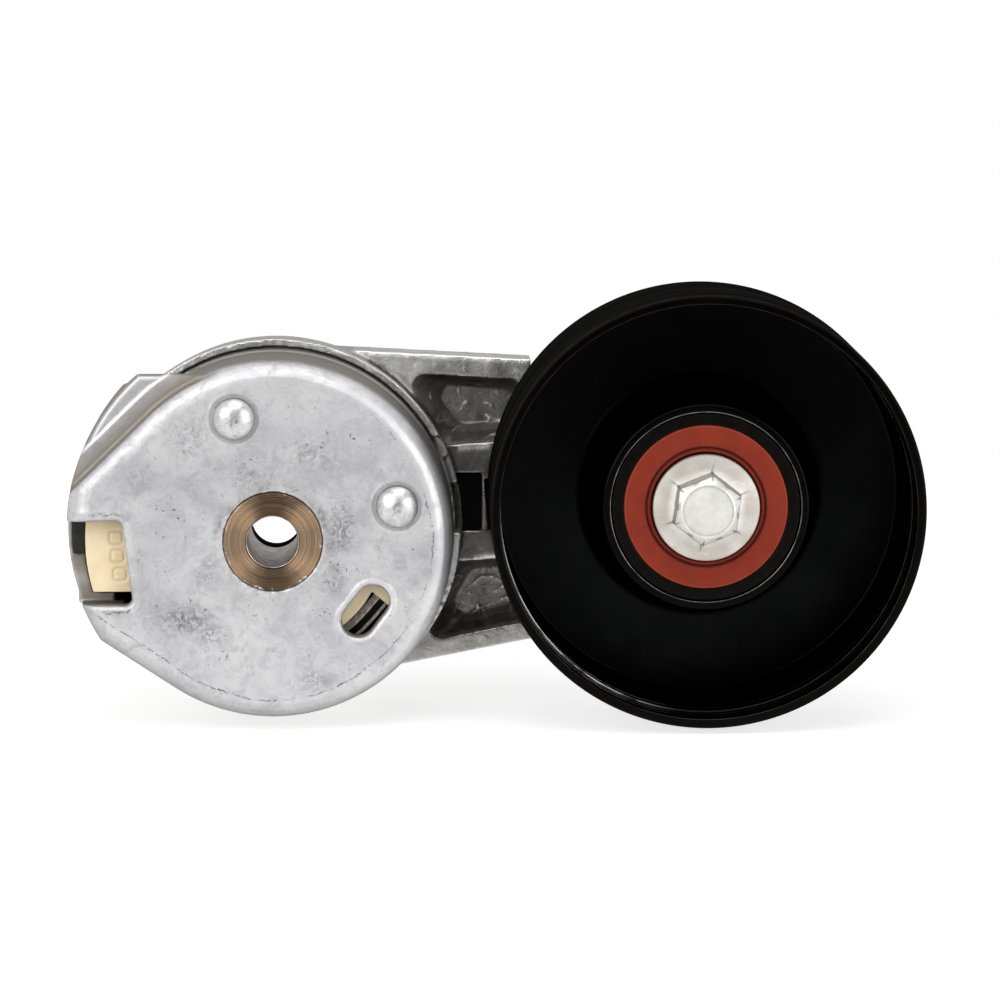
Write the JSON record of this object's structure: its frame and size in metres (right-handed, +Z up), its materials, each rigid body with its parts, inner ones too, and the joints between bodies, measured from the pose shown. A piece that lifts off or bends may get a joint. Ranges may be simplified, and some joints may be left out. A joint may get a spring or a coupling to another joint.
{
  "type": "spring-loaded belt tensioner with idler pulley",
  "caption": "Bolt-on belt tensioner: a cast spring case, a pivoting cast arm and a smooth black idler pulley on a sealed ball bearing.",
  "frame": {"origin": "centre of the mounting bore on the mounting face", "axes": "+X towards the pulley, across the bore; +Y along the bore, away from the engine; +Z up"},
  "size_m": [0.1793, 0.0502, 0.0917],
  "materials": {
    "cast_case": "die cast, satin, smudged",
    "cast_arm": "die cast, dark and slightly oily",
    "turned_steel": "turned, light brown",
    "cream_plastic": "moulded, matte",
    "black_rubber": "matte",
    "black_plastic": "moulded, satin",
    "plated_steel": "zinc flake, pale silver",
    "spring_steel": "oiled, dark",
    "bush_bronze": "sintered",
    "bearing_steel": "ground and polished",
    "dark_ring": "black, satin",
    "black_paint": "gloss black coat",
    "seal_red": "red-brown, satin"
  },
  "bodies": {
    "base": {"spring_case": "cast_case", "pivot_tube": "turned_steel", "locating_pins": "cast_case", "spring_seat": "cream_plastic", "damper_shoe": "cream_plastic", "friction_pad": "black_rubber", "retaining_plate": "plated_steel", "rear_thrust_washer": "black_plastic", "front_thrust_washer": "black_plastic", "torsion_spring": "spring_steel"},
    "arm": {"tensioner_arm": "cast_arm", "drive_hole_plug": "black_plastic", "rear_pivot_bush": "bush_bronze", "front_pivot_bush": "bush_bronze", "bearing_inner_ring": "dark_ring", "pulley_bolt": "plated_steel"},
    "pulley": {"pulley_shell": "black_paint", "bearing_outer_ring": "dark_ring", "front_seal": "seal_red", "rear_seal": "seal_red"},
    "cage": {"bearing_balls": "bearing_steel", "ball_cage": "cream_plastic"}
  },
  "joints": [
    {"name": "arm_pivot", "type": "hinge", "parent": "base", "child": "arm", "pos_m": [0, 0.024, 0], "axis": [0, -1, 0], "range_deg": [0, 40], "stiffness_Nm_per_rad": 25, "springref_deg": -45.84, "deforming": ["torsion_spring"]},
    {"name": "pulley_spin", "type": "hinge", "parent": "arm", "child": "pulley", "pos_m": [0.09078, 0.0116, 0.00635], "axis": [0, 1, 0], "continuous": true},
    {"name": "cage_spin", "type": "hinge", "parent": "arm", "child": "cage", "pos_m": [0.09078, 0.0116, 0.00635], "axis": [0, 1, 0], "continuous": true}
  ],
  "couplings": [
    {"joint": "cage_spin", "follows": "pulley_spin", "ratio": 0.618}
  ]
}
